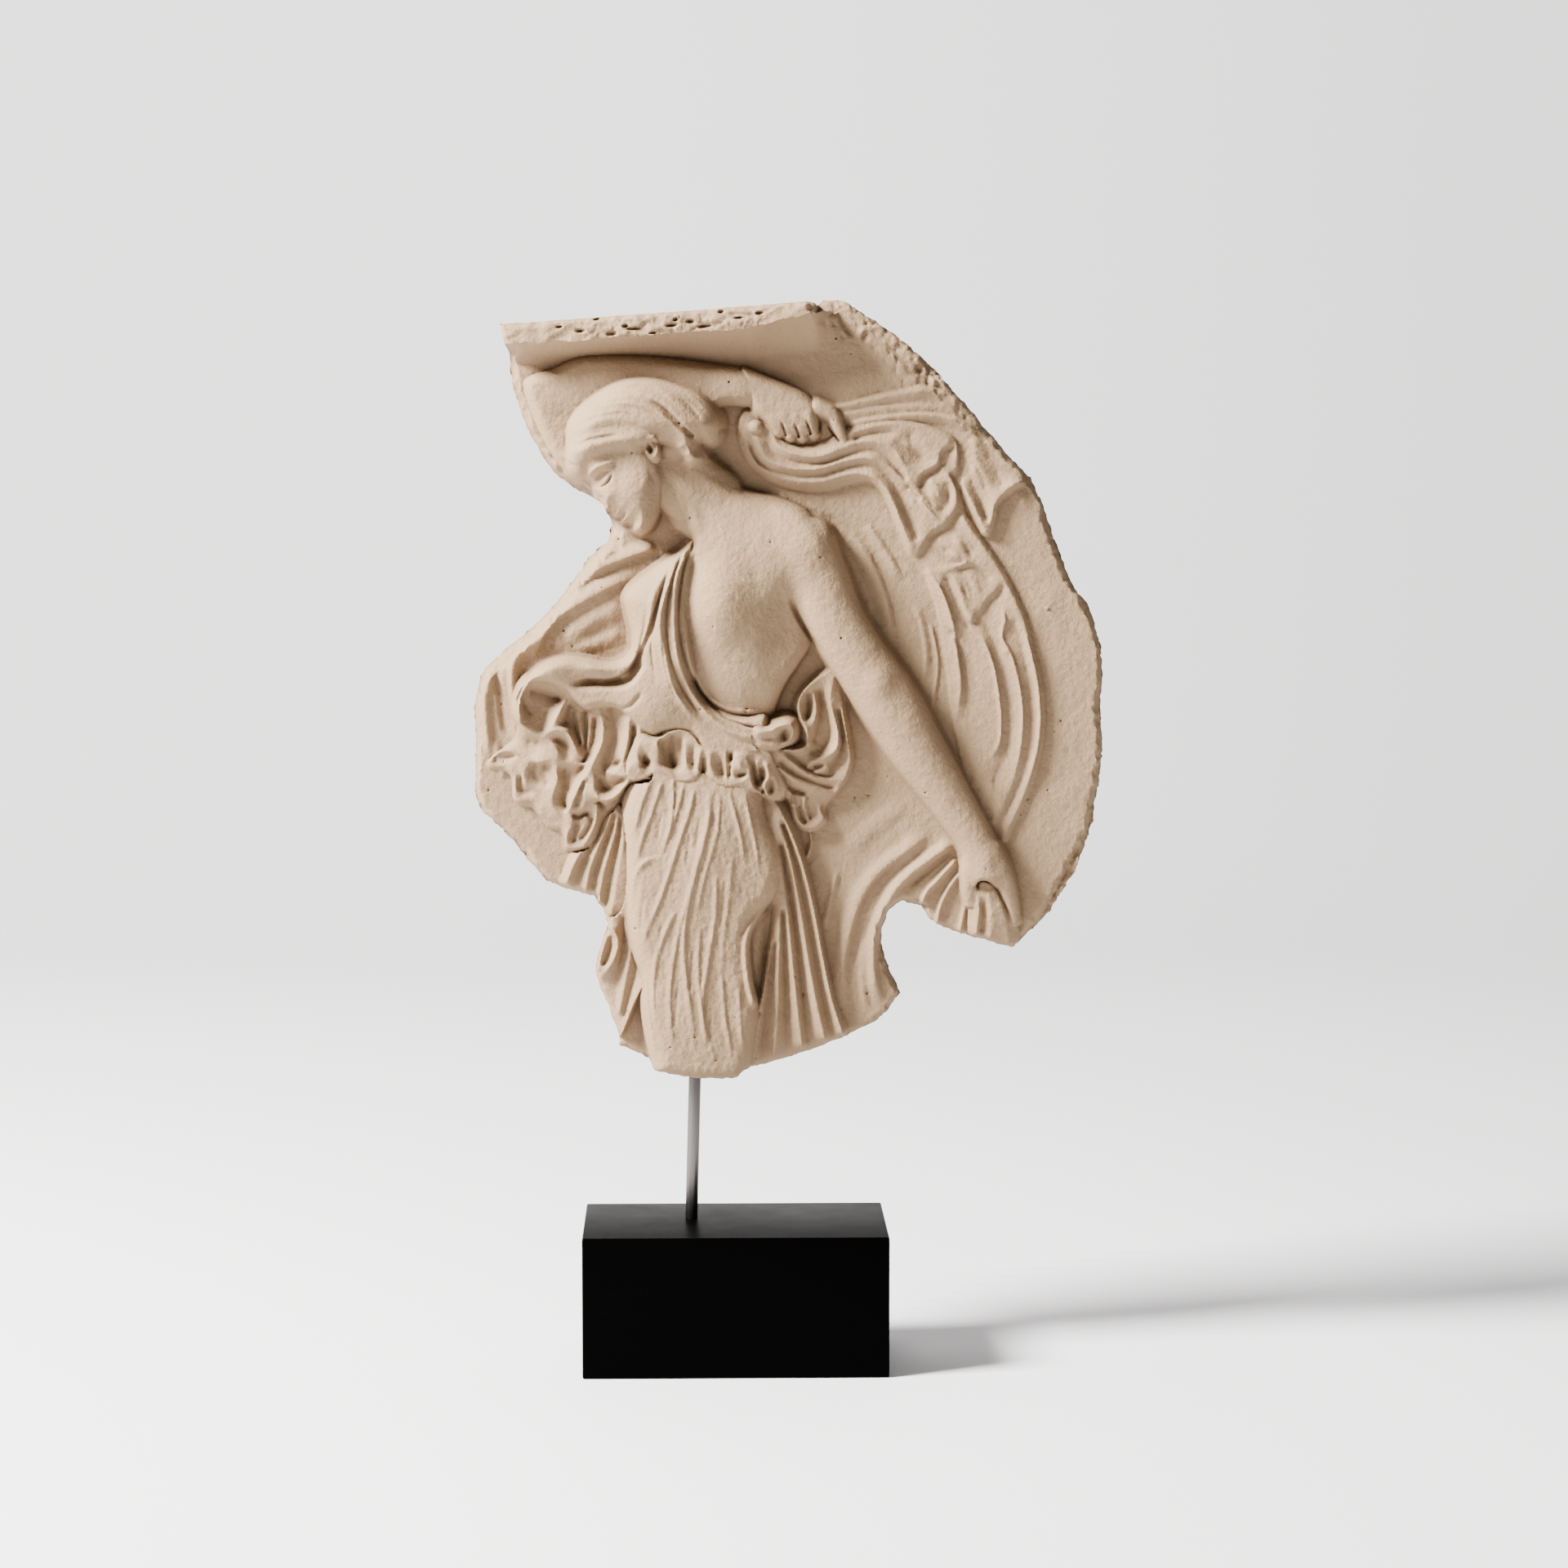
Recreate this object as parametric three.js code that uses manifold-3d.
// A fragment of a cast plaster relief, a veiled woman dancing under a broken ledge, held up by a thin
// steel rod on a black block. Millimetres, +Z up, the carved side faces -Y. The origin is at the centre
// of the block's underside.

import * as THREE from 'three';
import { mergeVertices } from 'three/addons/utils/BufferGeometryUtils.js';
import Module from 'manifold-3d';

// Block
const blockWidth = 123;
const blockDepth = 75;
const blockHeight = 57;
const blockEdge = 0.8;

// Rod
const rodDiameter = 5;
const rodShowing = 59;
const rodLean = 1.5;
const rodLeftOfCentre = 17.8;
const rodBehindCentre = 5;
const rodInBlock = 25;
const rodInPlaque = 38;
const rodChamfer = 0.5;
const rodClearance = 0.3;
const rodSides = 24;

// Plaque
const plaqueHeight = 315;
const slabThickness = 15;
const groundBeforeRod = 1;
const reliefDepth = 22;

// Faceting of the carved face
const rimStep = 2.8;
const latticeStep = 1.25;
const latticeFromRim = 1.5;
const faceVertices = 3700;
const finestError = 0.05;

// The carving is laid out on a sketch: x runs right, y runs down, and all of it scales with the plaque's
// height. Heights above the ground plane are in sketch units too, and the head stands highest.
const sketchTop = 370;
const sketchBottom = 1315;
const sketchHead = 66;
const sketchRodX = 851;
const unit = plaqueHeight / (sketchBottom - sketchTop);
const relief = reliefDepth / sketchHead;

const radians = THREE.MathUtils.degToRad;
const clamp = THREE.MathUtils.clamp;
const smooth = (t) => THREE.MathUtils.smoothstep(t, 0, 1);
const dome = (t) => Math.sqrt(1 - (1 - clamp(t, 0, 1)) ** 2);
const bell = (t) => 0.5 + 0.5 * Math.cos(Math.PI * clamp(t, 0, 1));

// Larger of two heights, with the crease between them filled over a height difference
function blendMax(a, b, fill) {
  if (!fill) return Math.max(a, b);
  const share = clamp(0.5 + (0.5 * (a - b)) / fill, 0, 1);
  return b + (a - b) * share + fill * share * (1 - share);
}

// Irregular waves of about the given size, between -1 and 1
function rough(x, y, size, seed) {
  let total = 0;
  for (let i = 0; i < 4; i++) {
    const turn = seed * 1.7 + i * 2.4;
    const pitch = ((0.75 + 0.19 * i) * Math.PI) / size;
    const across = Math.sin((x * Math.sin(turn + 1) - y * Math.cos(turn + 1)) * pitch * 0.63 + seed + i);
    total += Math.sin((x * Math.cos(turn) + y * Math.sin(turn)) * pitch + 1.9 * across);
  }
  return total / 3;
}

// Points along a smooth curve through hand-set ones; rows may carry further values, such as a radius
function curved(rows, closed = false, steps = 5) {
  const points = [];
  const spans = closed ? rows.length : rows.length - 1;
  const row = (i) => (closed ? rows[(i + rows.length) % rows.length] : rows[clamp(i, 0, rows.length - 1)]);
  for (let i = 0; i < spans; i++) {
    for (let k = 0; k < steps; k++) {
      const t = k / steps;
      points.push(row(i).map((b, n) => {
        const [a, c, d] = [row(i - 1)[n], row(i + 1)[n], row(i + 2)[n]];
        return b + 0.5 * t * (c - a + t * (2 * a - 5 * b + 4 * c - d + t * (3 * (b - c) + d - a)));
      }));
    }
  }
  if (!closed) points.push(rows[rows.length - 1]);
  return points;
}

// Distance to a chain of points, the share of its length there, and the side of it
function nearest(points, x, y) {
  let best = { distance: Infinity, share: 0, side: 1, row: 0 };
  for (let i = 0; i < points.length - 1; i++) {
    const [ax, ay] = points[i];
    const dx = points[i + 1][0] - ax;
    const dy = points[i + 1][1] - ay;
    const along = clamp(((x - ax) * dx + (y - ay) * dy) / (dx * dx + dy * dy), 0, 1);
    const distance = Math.hypot(x - ax - along * dx, y - ay - along * dy);
    if (distance < best.distance) {
      best = { distance, row: i + along, side: Math.sign(dx * (y - ay) - dy * (x - ax)) };
    }
  }
  best.share = best.row / (points.length - 1);
  return best;
}

// Signed distance to a closed outline, positive inside
function depthInside(outline, x, y) {
  let inside = false;
  outline.forEach(([ax, ay], i) => {
    const [bx, by] = outline[(i + 1) % outline.length];
    if (ay > y !== by > y && x < ((bx - ax) * (y - ay)) / (by - ay) + ax) inside = !inside;
  });
  const distance = nearest([...outline, outline[0]], x, y).distance;
  return inside ? distance : -distance;
}

// Guides between two, point by point
function between(first, last, share) {
  return first.map((row, i) => row.map((value, n) => value + (last[i][n] - value) * share));
}

// A height over the sketch, built up step by step as a sculptor lays on and cuts away
class Carving {
  constructor(ground) {
    this.ground = ground;
    this.steps = [];
  }

  add(points, reach, change) {
    const box = new THREE.Box2().setFromPoints(points.map(([x, y]) => new THREE.Vector2(x, y)));
    this.steps.push({ box: box.expandByScalar(reach), change });
  }

  at(x, y) {
    const place = new THREE.Vector2(x, y);
    return this.steps.reduce((h, step) => (step.box.containsPoint(place) ? step.change(h, x, y) : h), this.ground);
  }

  // A sheet or body with a rounded edge, standing on a base height
  layer(outline, top, { edge = 12, base = 0, wall = 3, fill = 0 } = {}) {
    const points = curved(outline, true);
    const topAt = typeof top === 'function' ? top : () => top;
    this.add(points, 25, (h, x, y) => {
      const depth = depthInside(points, x, y);
      if (depth < -25) return h;
      const body = depth < 0 ? base + depth * wall : base + (topAt(x, y) - base) * dome(depth / edge);
      return blendMax(h, body, fill);
    });
  }

  // A round form along a spine whose rows are x, y, radius, lift
  limb(spine, { flat = 0.85, fill = 0 } = {}) {
    const points = curved(spine);
    const widest = Math.max(...spine.map((row) => row[2]));
    this.add(points, widest + 15, (h, x, y) => {
      const { distance, row } = nearest(points, x, y);
      const [from, to] = [points[Math.floor(row)], points[Math.ceil(row)]];
      const [radius, lift] = [2, 3].map((n) => THREE.MathUtils.lerp(from[n], to[n], row % 1));
      const round = flat * Math.sqrt(Math.max(0, radius ** 2 - distance ** 2));
      return blendMax(h, distance < radius ? lift + round : lift - 3 * (distance - radius), fill);
    });
  }

  // A ridge of cloth that dies out at both ends, or a groove where its rise is negative
  fold(guide, width, rise, { lean = 0, ends = [0.2, 0.2] } = {}) {
    const points = curved(guide);
    this.add(points, width * (1 + Math.abs(lean)), (h, x, y) => {
      const { distance, share, side } = nearest(points, x, y);
      const start = ends[0] ? smooth(share / ends[0]) : 1;
      const stop = ends[1] ? smooth((1 - share) / ends[1]) : 1;
      return h + rise * start * stop * bell(distance / (width * (1 + lean * side)));
    });
  }

  // Folds spread between two guides
  fan(first, last, count, width, rise, options) {
    for (let i = 0; i < count; i++) {
      this.fold(between(first, last, count > 1 ? i / (count - 1) : 0), width, rise, options);
    }
  }

  // A soft swelling, or a hollow where its rise is negative
  mound(x0, y0, across, down, rise, turn = 0) {
    const [c, s] = [Math.cos(radians(turn)), Math.sin(radians(turn))];
    this.add([[x0, y0]], Math.max(across, down), (h, x, y) => {
      const [u, v] = [x - x0, y - y0];
      return h + rise * bell(Math.hypot((u * c + v * s) / across, (v * c - u * s) / down));
    });
  }

  // Half an egg standing on a base height
  egg(x0, y0, across, down, base, rise, { turn = 0, fill = 0 } = {}) {
    const [c, s] = [Math.cos(radians(turn)), Math.sin(radians(turn))];
    this.add([[x0, y0]], Math.max(across, down) + 10, (h, x, y) => {
      const [u, v] = [x - x0, y - y0];
      const out = Math.hypot((u * c + v * s) / across, (v * c - u * s) / down);
      return blendMax(h, out < 1 ? base + rise * Math.sqrt(1 - out * out) : base - (out - 1) * 60, fill);
    });
  }
}

// Broken outline of the fragment, clockwise from the ledge's left end
const fragment = [
  [620, 402], [740, 393], [865, 384], [988, 374], [1000, 377], [1008, 371], [1034, 372], [1066, 393], [1101, 416], [1140, 450],
  [1203, 522], [1229, 553], [1262, 587], [1277, 620], [1291, 664], [1307, 702], [1330, 735], [1341, 764], [1350, 832],
  [1347, 860], [1351, 912], [1346, 958], [1336, 1015], [1317, 1065], [1286, 1116], [1256, 1146], [1238, 1159],
  [1209, 1149], [1156, 1134], [1140, 1125], [1129, 1108], [1107, 1102], [1089, 1113], [1081, 1135], [1081, 1163],
  [1088, 1183], [1103, 1215], [1092, 1232], [1071, 1250], [1004, 1280], [937, 1301], [912, 1305], [903, 1313],
  [849, 1314], [803, 1306], [795, 1294], [758, 1277], [758, 1263], [745, 1226], [730, 1182], [735, 1160], [746, 1133],
  [740, 1108], [729, 1095], [694, 1086], [672, 1077], [653, 1057], [635, 1032], [611, 1007], [590, 988], [584, 966],
  [584, 860], [589, 832], [598, 815], [650, 771], [681, 740], [725, 681], [748, 660], [752, 642], [745, 621],
  [718, 604], [698, 592], [680, 577], [664, 552], [649, 524], [639, 498], [631, 468], [629, 434], [624, 419],
];

// Cloth blown flat against the ground behind the figure, on her left
function groundCloth(carving) {
  const steep = { lean: 0.3 };
  carving.fan([[800, 668], [766, 686], [732, 712], [700, 745]], [[775, 700], [735, 722], [690, 755], [655, 800]], 2, 10, 8, steep);
  carving.fan([[764, 735], [720, 757], [690, 785]], [[766, 775], [735, 785], [700, 792]], 2, 13, 4, steep);
  carving.fan([[648, 800], [630, 840], [632, 880], [642, 915]], [[606, 815], [594, 862], [598, 905], [606, 945]], 3, 9, 7, steep);
}

// The veil: a bundle under the raised hand that opens into long arcs beside the lowered arm
function veil(carving) {
  carving.layer([
    [914, 505], [960, 520], [1041, 493], [1108, 480], [1150, 480], [1185, 500], [1262, 590], [1236, 600], [1202, 655],
    [1182, 612], [1172, 600], [1168, 622], [1220, 700], [1267, 812], [1275, 885], [1255, 985], [1228, 1030],
    [1160, 905], [1060, 740], [1010, 640], [950, 606], [903, 550],
  ], 7, { edge: 5 });
  carving.mound(1120, 790, 75, 190, -5, -20);
  carving.mound(1060, 720, 26, 90, -6, -22);
  carving.fan([[947, 532], [957, 547], [985, 555], [1012, 552], [1040, 540]],
    [[908, 530], [920, 580], [950, 600], [990, 612], [1030, 628]], 4, 8, 8);
  carving.fold([[1012, 570], [1047, 573], [1072, 580], [1090, 600], [1104, 632], [1124, 690]], 8, 8, { lean: -0.2 });
  carving.fan([[1030, 500], [1070, 497], [1110, 490], [1165, 500], [1205, 528]],
    [[1040, 545], [1066, 540], [1105, 555], [1137, 590], [1165, 643]], 4, 6, 5);
  carving.fold([[1180, 600], [1196, 630], [1207, 655]], 6, 6);
  const arcs = { lean: -0.5 };
  carving.fan([[1139, 700], [1155, 730], [1165, 762], [1174, 832], [1169, 864]],
    [[1170, 655], [1210, 712], [1250, 800], [1264, 880], [1240, 980]], 4, 6.5, 6, arcs);
  carving.fold([[1268, 850], [1271, 900], [1262, 950], [1224, 1020]], 6, 6);
}

// Cloth that sweeps from the hand down to the lower right
function sweep(carving) {
  carving.fan([[1140, 1010], [1100, 1040], [1060, 1080], [1035, 1130], [1026, 1190]],
    [[1172, 1042], [1135, 1068], [1100, 1098], [1075, 1140], [1084, 1215]], 3, 8, 6, { lean: 0.3 });
  carving.fan([[1176, 1060], [1150, 1085], [1136, 1105]], [[1190, 1105], [1178, 1125], [1170, 1140]], 3, 6.5, 6);
}

// The raised arm and hand, which holds the veil up
function raisedArm(carving) {
  const overTop = (x, y) => 22 + 4 * Math.sin(Math.PI * clamp((y - 440) / 70, 0, 1)) - 0.02 * Math.abs(x - 780);
  carving.layer([
    [647, 468], [685, 451], [733, 437], [780, 436], [880, 446], [936, 462], [945, 475], [935, 495], [884, 501],
    [850, 540], [820, 570], [780, 600], [733, 604], [698, 580], [666, 532], [648, 486],
  ], overTop, { edge: 16, wall: 2.5 });
  carving.layer([
    [912, 453], [936, 460], [985, 482], [1004, 493], [1006, 512], [1003, 528], [975, 537], [944, 526], [921, 502],
  ], 24, { edge: 14, wall: 2.5 });
  carving.fan([[940, 506], [952, 527]], [[989, 506], [1000, 526]], 4, 8, 5, { ends: [0.6, 0] });
  carving.limb([[1003, 503, 8, 16], [1018, 512, 7.5, 15], [1030, 530, 6.5, 13], [1037, 541, 5.5, 10]]);
  carving.egg(926, 524, 9, 9, 9, 9);
}

// Crumpled cloth behind the waist, and pleats that hang below it on both sides
function hangingCloth(carving) {
  carving.layer([
    [940, 890], [962, 850], [985, 815], [1008, 812], [1026, 835], [1040, 905], [1033, 955], [1010, 968], [1010, 1000],
    [1000, 1035], [985, 1040], [935, 960],
  ], 16, { wall: 2 });
  carving.fan([[1000, 818], [976, 862], [989, 908]], [[1028, 825], [1034, 880], [1030, 972]], 3, 6, 9);
  carving.fan([[945, 898], [975, 925], [1028, 948]], [[940, 920], [965, 950], [1012, 968]], 2, 6, 8);
  carving.fan([[766, 985], [750, 1035], [742, 1095]], [[758, 971], [724, 1027], [698, 1081]], 6, 6.5, 9,
    { lean: 0.35, ends: [0.2, 0.05] });
  carving.fan([[770, 1080], [757, 1150], [748, 1210], [762, 1280]], [[770, 1100], [753, 1155], [760, 1230], [776, 1285]],
    3, 6, 6, { lean: 0.3 });
  carving.layer([
    [935, 960], [975, 1025], [1003, 1110], [1027, 1210], [1042, 1262], [990, 1285], [930, 1306], [900, 1300],
    [900, 1100], [920, 1000],
  ], (x, y) => 19 - 0.03 * (y - 960), { edge: 14, wall: 1.6 });
  carving.fan([[950, 985], [960, 1070], [972, 1150], [976, 1225], [972, 1275]],
    [[962, 990], [988, 1060], [1006, 1140], [1024, 1210], [1036, 1262]], 4, 6.5, 9, { lean: 0.2, ends: [0.12, 0.02] });
  carving.fold([[952, 1080], [953, 1150], [948, 1210], [930, 1295]], 8, 8);
}

// The skirt drawn tight over the forward leg
function skirt(carving) {
  const leg = (x, y) => 40 + 10 * Math.exp(-(((x - 855) / 60) ** 2) - ((y - 1050) / 110) ** 2);
  carving.layer([
    [778, 948], [765, 1020], [770, 1110], [771, 1160], [786, 1244], [803, 1312], [850, 1322], [905, 1320], [930, 1250],
    [921, 1160], [928, 1126], [956, 1084], [954, 1018], [930, 965], [840, 940],
  ], leg, { edge: 46, base: 4, wall: 2.5 });
  const steep = { lean: 0.3, ends: [0.15, 0.3] };
  carving.fan([[800, 945], [785, 1000], [778, 1060], [776, 1130], [796, 1230]],
    [[880, 955], [872, 1010], [862, 1072], [843, 1168], [852, 1290]], 5, 5.5, 5, steep);
  carving.fan([[893, 965], [902, 1000], [914, 1030]], [[915, 960], [922, 1000], [930, 1035]], 2, 4, 3);
  carving.fan([[828, 1125], [820, 1200], [826, 1290]], [[900, 1100], [905, 1180], [920, 1245]], 3, 5, 4, steep);
}

// Bare shoulder and breast, rising out of the gown
function torso(carving) {
  const body = new Carving(8);
  body.egg(905, 745, 92, 150, 6, 46, { fill: 8 });
  body.egg(985, 672, 58, 62, 8, 42, { fill: 14 });
  body.egg(905, 640, 90, 62, 6, 36, { fill: 14 });
  body.egg(872, 605, 42, 62, 6, 34, { turn: -25, fill: 12 });
  body.mound(885, 730, 58, 66, 13);
  carving.layer([
    [838, 588], [862, 548], [866, 566], [894, 588], [955, 609], [985, 622], [1016, 668], [1020, 700], [1005, 740],
    [994, 782], [957, 840], [938, 869], [914, 871], [889, 855], [864, 825], [848, 790], [838, 745], [838, 700],
    [850, 655], [845, 625],
  ], (x, y) => body.at(x, y), { edge: 14, base: 8 });
}

// The lowered arm, and the hand that gathers the veil
function loweredArm(carving) {
  carving.limb([
    [985, 672, 41, 14], [1003, 712, 37, 16], [1022, 757, 34, 18], [1052, 805, 34, 18], [1090, 857, 35, 16],
    [1126, 918, 31, 14], [1162, 972, 26, 12], [1194, 1018, 23, 10], [1206, 1050, 26, 8], [1214, 1080, 27, 6],
  ], { fill: 9 });
  carving.fold([[966, 722], [975, 748], [992, 776], [1010, 800]], 5, -9);
  carving.limb([[1190, 1035, 14, 14], [1184, 1065, 10, 12], [1182, 1095, 8, 10]]);
  carving.limb([[1200, 1075, 12, 18], [1216, 1100, 15, 12], [1226, 1130, 17, 6], [1232, 1150, 14, 2]]);
  carving.limb([[1222, 1050, 10, 18], [1236, 1085, 9, 14], [1245, 1118, 6, 8]]);
}

// Cloth that swirls out from under the gown on her left
function swirl(carving) {
  carving.layer([
    [612, 930], [618, 905], [652, 840], [700, 838], [740, 850], [775, 880], [785, 910], [755, 985], [735, 1000],
    [712, 1040], [695, 1030], [680, 1005], [640, 978],
  ], 12, { wall: 2 });
  const tubes = [
    [[702, 852, 6, 14], [694, 872, 7, 18], [668, 897, 5, 12]],
    [[650, 893, 5, 12], [666, 904, 7, 16], [684, 914, 7, 14], [700, 930, 6, 12]],
    [[750, 872, 7, 22], [738, 912, 8, 22], [705, 970, 7, 16], [701, 992, 6, 12]],
    [[768, 880, 8, 26], [757, 915, 9, 28], [752, 942, 8, 26]],
    [[738, 925, 7, 18], [734, 955, 7, 18], [722, 985, 7, 16], [706, 1032, 5, 8]],
    [[676, 920, 8, 12], [678, 945, 7, 14], [668, 968, 6, 12]],
    [[634, 915, 6, 10], [640, 945, 7, 12], [634, 975, 5, 8]],
  ];
  tubes.forEach((spine) => carving.limb(spine));
}

// Overfold of the gown: the strap, the covered breast and the billow, with a looped hem at the waist
function overfold(carving) {
  const body = new Carving(44);
  body.mound(795, 730, 52, 62, 10);
  body.mound(800, 850, 66, 58, 7);
  body.mound(745, 828, 74, 15, -13);
  body.mound(680, 815, 50, 23, 9);
  carving.layer([
    [852, 662], [801, 695], [776, 715], [768, 730], [776, 778], [772, 797], [760, 805], [720, 800], [698, 797],
    [674, 803], [653, 817], [641, 836], [639, 878], [650, 842], [678, 833], [698, 843], [711, 860], [746, 862],
    [763, 867], [794, 901], [822, 894], [850, 905], [900, 925], [940, 935], [968, 925], [965, 895], [938, 880],
    [910, 882], [884, 866], [862, 834], [846, 795], [838, 750], [838, 705],
  ], (x, y) => body.at(x, y), { edge: 13, base: 8 });
  carving.fan([[836, 674], [820, 715], [813, 760], [818, 800], [835, 840], [870, 872], [905, 895]],
    [[848, 668], [838, 710], [835, 750], [842, 790], [857, 828], [882, 860], [950, 890]], 3, 4.5, 5, { ends: [0.1, 0.15] });
  carving.fold([[830, 678], [800, 755], [790, 790], [775, 822], [745, 838], [715, 836]], 6, 7);
  carving.fold([[795, 725], [785, 775], [765, 815], [735, 820]], 4, -6);
  carving.layer([
    [764, 938], [770, 915], [815, 893], [850, 900], [900, 915], [940, 905], [965, 915], [985, 968], [950, 968],
    [895, 956], [862, 941], [825, 943], [785, 945],
  ], 40, { edge: 10, base: 8 });
  const loops = [[776, 930, 9, 11], [795, 924, 12, 13], [829, 916, 21, 20], [860, 928, 13, 14], [887, 934, 15, 17],
    [913, 943, 13, 14], [936, 950, 12, 13], [957, 962, 11, 11]];
  loops.forEach(([x, y, across, down]) => carving.egg(x, y, across, down, 38, 14));
}

// The bowed head in profile, on plain proportions: places are given from the chin along and up the face
function head(carving) {
  const size = 165;
  const chin = [790, 655];
  const bow = radians(42);
  const at = (out, up) => [
    chin[0] - size * (out * Math.cos(bow) + up * Math.sin(bow)),
    chin[1] + size * (out * Math.sin(bow) - up * Math.cos(bow)),
  ];
  carving.limb([[...at(-0.42, 0.3), 34, 18], [...at(-0.44, 0.05), 34, 16], [...at(-0.5, -0.15), 36, 10]],
    { flat: 0.75, fill: 6 });
  const profile = [[0, 0.84], [0.045, 0.63], [0.035, 0.545], [0.08, 0.44], [0.13, 0.35], [0.05, 0.295], [0.06, 0.25],
    [0.03, 0.213], [0.045, 0.175], [0.01, 0.13], [0.03, 0.07], [0, 0.01], [-0.1, 0], [-0.42, 0.2], [-0.52, 0.42],
    [-0.5, 0.8], [-0.2, 0.92]];
  carving.layer(profile.map(([out, up]) => at(out, up)), 60, { edge: 30, base: 14, wall: 3.5 });
  carving.mound(...at(-0.2, 0.33), 34, 34, 5);
  carving.mound(...at(-0.06, 0.51), 14, 10, -6, -42);
  carving.mound(...at(0.03, 0.215), 10, 9, 4, -42);
  carving.mound(...at(0, 0.07), 14, 12, 4);
  const hairTop = (x, y) => sketchHead - 0.0009 * ((x - 785) ** 2 + (y - 530) ** 2);
  carving.layer([
    [700, 578], [697, 540], [713, 498], [738, 478], [790, 463], [841, 475], [877, 501], [885, 516], [874, 540],
    [862, 556], [840, 572], [828, 558], [795, 556], [765, 566], [715, 588],
  ], hairTop, { edge: 34, base: 16, wall: 3.5 });
  carving.fold([[704, 560], [735, 548], [775, 540], [810, 538], [835, 552]], 15, 6, { ends: [0.1, 0.1] });
  carving.fan([[705, 528], [738, 512], [775, 506], [825, 528]], [[722, 492], [755, 480], [790, 476], [830, 488]], 3, 6, 4);
  carving.fold([[806, 492], [828, 512], [852, 537]], 4, -8);
  carving.mound(852, 512, 34, 26, 7, 40);
  carving.egg(...at(-0.47, 0.43), 11, 20, 48, 13, { turn: -20 });
}

// The broken ledge over the figure: a ragged front with a hollow under it
function ledge(carving) {
  const front = [[611, 424], [690, 423], [740, 419], [840, 411], [920, 407], [943, 400], [1012, 384]];
  const lowerEdge = (x) => {
    const i = clamp(front.findIndex(([end]) => end > x), 1, front.length - 1);
    const [[ax, ay], [bx, by]] = [front[i - 1], front[i]];
    return ay + ((by - ay) * (x - ax)) / (bx - ax) + 1.6 * rough(x, 0, 13, 3);
  };
  carving.add([[600, 365], [1030, 470]], 0, (h, x, y) => {
    const below = y - lowerEdge(x);
    const left = smooth((x - 611) / 5);
    if (below < 0) {
      return Math.max(h, (56 + 0.08 * below + 2 * rough(x, y, 9, 1)) * left * smooth((1003 - x) / 7));
    }
    const hollow = 1 - clamp(below / (22 + 0.05 * (x - 611)), 0, 1);
    return Math.max(h, 53 * hollow ** 1.8 * left * smooth((1028 - x) / 30));
  });
}

// Chipped bevels along the broken rim: a path, the width of the break and its drop
function rims(carving) {
  const outline = fragment;
  const breaks = [
    [[[1006, 372], [1034, 372], [1066, 393], [1101, 416], [1140, 450]], 34, 9],
    [[[1140, 450], [1170, 484], [1203, 522]], 20, 9],
    [[[629, 434], [631, 468], [649, 524], [680, 577], [738, 613]], 13, 15],
    [[[752, 642], [725, 681], [681, 740], [650, 771], [598, 815], [589, 832]], 16, 14],
    [[[589, 832], [584, 900], [590, 988], [638, 1030], [672, 1077], [729, 1095]], 9, 9],
    [[[1203, 522], [1262, 587], [1291, 664], [1330, 735], [1350, 832], [1346, 958], [1310, 1062], [1256, 1146]], 9, 9],
    [[[1129, 1108], [1089, 1113], [1081, 1163], [1103, 1215], [1092, 1232]], 9, 9],
  ];
  breaks.forEach(([path, width, drop]) => {
    carving.add(path, width + 6, (h, x, y) => {
      const reach = nearest(path, x, y).distance / (width * (0.85 + 0.25 * rough(x, y, 16, 2)));
      return reach < 1 ? h - drop * (1 - reach) * (0.9 + 0.25 * rough(x, y, 11, 5)) : h;
    });
  });
  carving.add(outline, 10, (h, x, y) => h - 5 * (1 - clamp(depthInside(outline, x, y) / 5, 0, 1)) ** 1.5);
}

// Splits an outline's sides so that none is longer than the step
function divided(outline, step) {
  return outline.flatMap(([ax, ay], i) => {
    const [bx, by] = outline[(i + 1) % outline.length];
    const count = Math.ceil(Math.hypot(bx - ax, by - ay) / step);
    return Array.from({ length: count }, (_, k) => [ax + ((bx - ax) * k) / count, ay + ((by - ay) * k) / count]);
  });
}

// Delaunay triangulation that points are put into one by one
class Net {
  constructor(low, high) {
    const span = Math.max(high[0] - low[0], high[1] - low[1]) * 4;
    this.points = [[low[0] - span, low[1] - span], [high[0] + span * 2, low[1] - span], [low[0] - span, high[1] + span * 2]];
    this.triangles = [this.triangle(0, 1, 2)];
  }

  triangle(a, b, c) {
    const [[ax, ay], [bx, by], [cx, cy]] = [a, b, c].map((i) => this.points[i]);
    const area = 2 * ((bx - ax) * (cy - ay) - (by - ay) * (cx - ax));
    const [bb, cc] = [(bx - ax) ** 2 + (by - ay) ** 2, (cx - ax) ** 2 + (cy - ay) ** 2];
    const [x, y] = [(bb * (cy - ay) - cc * (by - ay)) / area, (cc * (bx - ax) - bb * (cx - ax)) / area];
    return { corners: [a, b, c], x: ax + x, y: ay + y, reach: x * x + y * y };
  }

  insert(x, y) {
    const sides = new Map();
    const kept = [];
    for (const triangle of this.triangles) {
      if ((triangle.x - x) ** 2 + (triangle.y - y) ** 2 >= triangle.reach) {
        kept.push(triangle);
        continue;
      }
      triangle.corners.forEach((from, i) => {
        const to = triangle.corners[(i + 1) % 3];
        if (!sides.delete(`${to} ${from}`)) sides.set(`${from} ${to}`, [from, to]);
      });
    }
    const added = this.points.push([x, y]) - 1;
    sides.forEach(([from, to]) => kept.push(this.triangle(from, to, added)));
    this.triangles = kept;
  }
}

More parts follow.
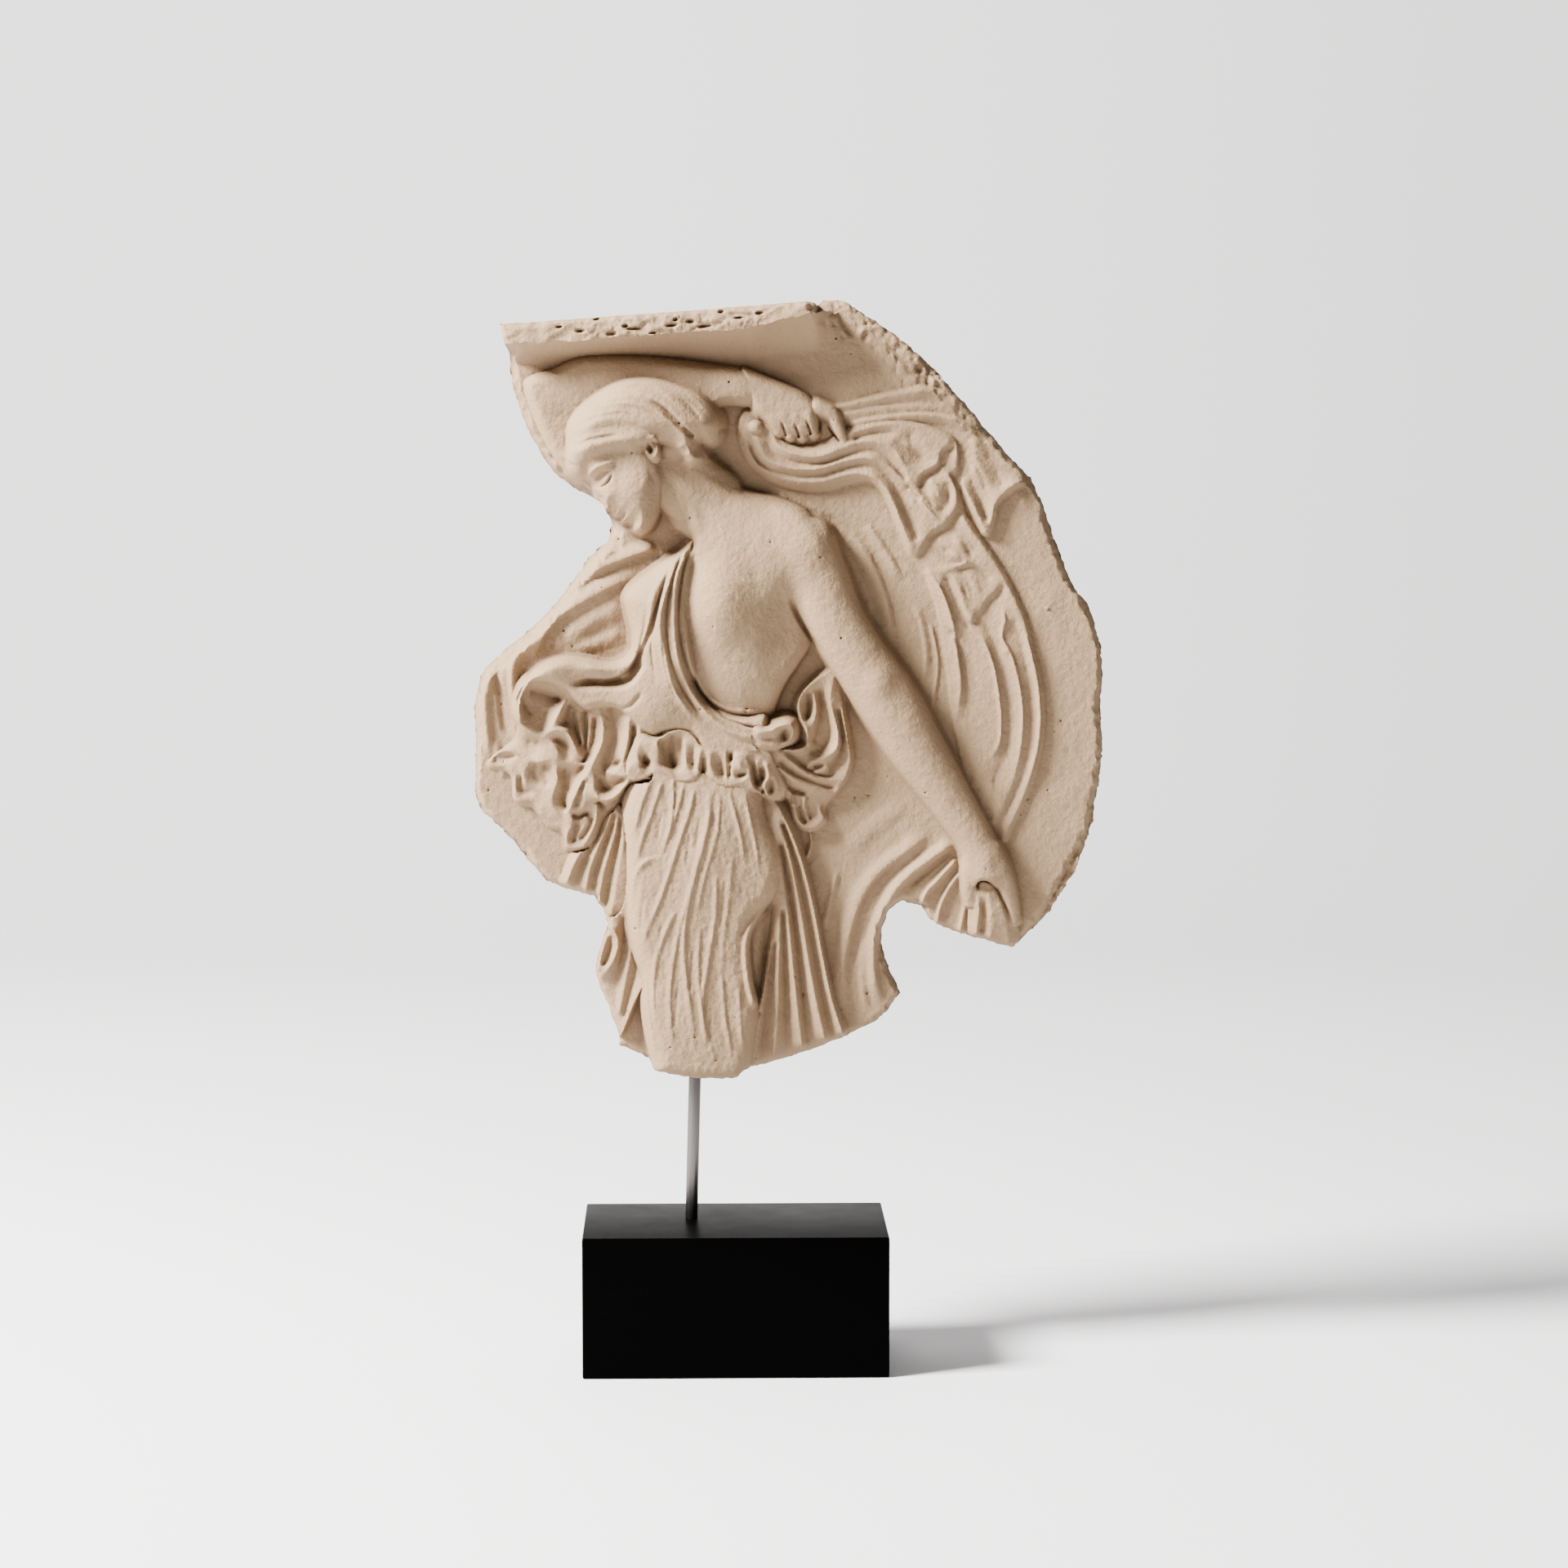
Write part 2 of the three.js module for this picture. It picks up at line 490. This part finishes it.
// The carved face as triangles that are small where the carving needs them
function facetedFace(carving, rim) {
  const low = [0, 1].map((n) => Math.min(...rim.map((point) => point[n])));
  const high = [0, 1].map((n) => Math.max(...rim.map((point) => point[n])));
  const net = new Net(low, high);
  const heights = [0, 0, 0];
  const put = (x, y, height) => {
    net.insert(x, y);
    heights.push(height);
  };
  rim.forEach(([x, y]) => put(x, y, carving.at(x, y)));
  const step = latticeStep / unit;
  const rows = Array.from({ length: Math.ceil((high[1] - low[1]) / step) }, (_, j) => {
    return Array.from({ length: Math.ceil((high[0] - low[0]) / step) }, (_, i) => {
      const x = low[0] + step * (i + 0.5 + 0.2 * Math.sin(3 * i + 5 * j));
      const y = low[1] + step * (j + 0.5 + 0.2 * Math.sin(7 * i + 2 * j));
      return depthInside(rim, x, y) > latticeFromRim / unit ? { x, y, height: carving.at(x, y) } : null;
    });
  });
  const worstIn = ({ corners }) => {
    const [[ax, ay], [bx, by], [cx, cy]] = corners.map((i) => net.points[i]);
    const [ah, bh, ch] = corners.map((i) => heights[i]);
    const area = (bx - ax) * (cy - ay) - (by - ay) * (cx - ax);
    const [x0, x1] = [Math.min(ax, bx, cx), Math.max(ax, bx, cx)].map((x) => (x - low[0]) / step);
    const [y0, y1] = [Math.min(ay, by, cy), Math.max(ay, by, cy)].map((y) => (y - low[1]) / step);
    let worst = { error: finestError / relief };
    for (let j = Math.max(0, Math.floor(y0)); j < Math.min(rows.length, y1); j++) {
      for (let i = Math.max(0, Math.floor(x0)); i < Math.min(rows[j].length, x1); i++) {
        const place = rows[j][i];
        if (!place) continue;
        const b = ((place.x - ax) * (cy - ay) - (place.y - ay) * (cx - ax)) / area;
        const c = ((bx - ax) * (place.y - ay) - (by - ay) * (place.x - ax)) / area;
        if (b < 0 || c < 0 || b + c > 1) continue;
        const error = Math.abs(place.height - ah - b * (bh - ah) - c * (ch - ah));
        if (error > worst.error) worst = { error, i, j, place };
      }
    }
    return worst;
  };
  while (net.points.length < faceVertices) {
    const wanted = net.triangles.map(worstIn).filter((worst) => worst.place).sort((a, b) => b.error - a.error);
    const batch = Math.ceil(Math.min(wanted.length / 3, faceVertices - net.points.length));
    if (!batch) break;
    wanted.slice(0, batch).forEach(({ i, j, place }) => {
      put(place.x, place.y, place.height);
      rows[j][i] = null;
    });
  }
  const faces = net.triangles.map((triangle) => triangle.corners).filter((corners) => {
    const middle = [0, 1].map((n) => corners.reduce((sum, i) => sum + net.points[i][n], 0) / 3);
    return Math.min(...corners) > 2 && depthInside(rim, ...middle) > 0;
  });
  return { points: net.points.slice(3), heights: heights.slice(3), faces: faces.map((face) => face.map((i) => i - 3)) };
}

// The plaque as a closed body: carved face, broken sides and a flat back, from the rod's entry
function plaqueBody() {
  const carving = new Carving(0);
  [groundCloth, veil, sweep, raisedArm, hangingCloth, skirt, torso, loweredArm, swirl, overfold, head, ledge, rims]
    .forEach((part) => part(carving));
  const rim = divided(fragment, rimStep / unit);
  const { points, heights, faces } = facetedFace(carving, rim);
  const ground = -groundBeforeRod;
  const across = (x) => (x - sketchRodX) * unit;
  const up = (y) => (sketchBottom - y) * unit;
  const positions = points.flatMap(([x, y], i) => [across(x), ground - heights[i] * relief, up(y)]);
  rim.forEach(([x, y]) => positions.push(across(x), ground + slabThickness, up(y)));
  const back = (i) => points.length + i;
  const flat = rim.map(([x, y]) => new THREE.Vector2(x, y));
  const backFaces = THREE.ShapeUtils.triangulateShape(flat, []).map((face) => face.map(back));
  const turns = (a, b, c) => (b[0] - a[0]) * (c[1] - a[1]) - (b[1] - a[1]) * (c[0] - a[0]);
  const indices = faces.flatMap(([a, b, c]) => (turns(points[a], points[b], points[c]) < 0 ? [a, b, c] : [a, c, b]));
  backFaces.forEach(([a, b, c]) => {
    const [pa, pb, pc] = [a, b, c].map((i) => rim[i - points.length]);
    indices.push(...(turns(pa, pb, pc) < 0 ? [a, c, b] : [a, b, c]));
  });
  rim.forEach((_, i) => {
    const next = (i + 1) % rim.length;
    indices.push(i, next, back(next), i, back(next), back(i));
  });
  const body = new THREE.BufferGeometry();
  body.setAttribute('position', new THREE.Float32BufferAttribute(positions, 3));
  body.setIndex(indices);
  return body;
}

// A round bar along Z with chamfered ends
function bar(diameter, from, to, chamfer) {
  const radius = diameter / 2;
  const profile = [[0, from], [radius - chamfer, from], [radius, from + chamfer], [radius, to - chamfer],
    [radius - chamfer, to], [0, to]];
  const outline = profile.map(([r, z]) => new THREE.Vector2(r, z));
  return new THREE.LatheGeometry(outline, rodSides).rotateX(Math.PI / 2);
}

const wasm = await Module();
wasm.setup();

function solidOf(geometry) {
  const bare = geometry.clone();
  bare.deleteAttribute('normal');
  bare.deleteAttribute('uv');
  const merged = mergeVertices(bare, 1e-4);
  return new wasm.Manifold(new wasm.Mesh({
    numProp: 3,
    vertProperties: new Float32Array(merged.attributes.position.array),
    triVerts: new Uint32Array(merged.index.array),
  }));
}

function cut(geometry, tool) {
  const { vertProperties, triVerts } = solidOf(geometry).subtract(solidOf(tool)).getMesh();
  const result = new THREE.BufferGeometry();
  result.setAttribute('position', new THREE.BufferAttribute(vertProperties, 3));
  result.setIndex(new THREE.BufferAttribute(triVerts, 1));
  result.computeVertexNormals();
  return result;
}

// Hole for the rod, measured along it from where the rod enters
function rodHole(from, to) {
  return bar(rodDiameter + 2 * rodClearance, from, to, rodChamfer).rotateY(radians(rodLean));
}

function baseBlock() {
  const [x, y] = [blockWidth / 2 - blockEdge, blockDepth / 2 - blockEdge];
  const plan = new THREE.Shape([[-x, -y], [x, -y], [x, y], [-x, y]].map((corner) => new THREE.Vector2(...corner)));
  const block = new THREE.ExtrudeGeometry(plan, {
    depth: blockHeight - 2 * blockEdge,
    bevelSize: blockEdge,
    bevelThickness: blockEdge,
    bevelSegments: 2,
  }).translate(0, 0, blockEdge);
  const hole = rodHole(-rodInBlock - rodClearance, rodInBlock).translate(-rodLeftOfCentre, rodBehindCentre, blockHeight);
  return cut(block, hole);
}

function reliefPlaque() {
  return cut(plaqueBody(), rodHole(-rodInPlaque, rodInPlaque + rodClearance));
}

function material(color, roughness, metalness = 0) {
  return new THREE.MeshStandardMaterial({ color, roughness, metalness });
}

const model = new THREE.Group();

function place(name, geometry, finish, x, y, z) {
  const mesh = new THREE.Mesh(geometry, finish);
  mesh.name = name;
  mesh.position.set(x, y, z);
  model.add(mesh);
  return mesh;
}

place('base_block', baseBlock(), material(0x151414, 0.45), 0, 0, 0);

const rod = place('support_rod', bar(rodDiameter, -rodInBlock, rodShowing + rodInPlaque, rodChamfer),
  material(0x8d8c88, 0.35, 1), -rodLeftOfCentre, rodBehindCentre, blockHeight);
rod.rotation.y = radians(rodLean);

const plaqueX = rodShowing * Math.sin(radians(rodLean)) - rodLeftOfCentre;
const plaqueZ = blockHeight + rodShowing * Math.cos(radians(rodLean));
place('relief_plaque', reliefPlaque(), material(0xdcc8b2, 0.8), plaqueX, rodBehindCentre, plaqueZ);

export default model;
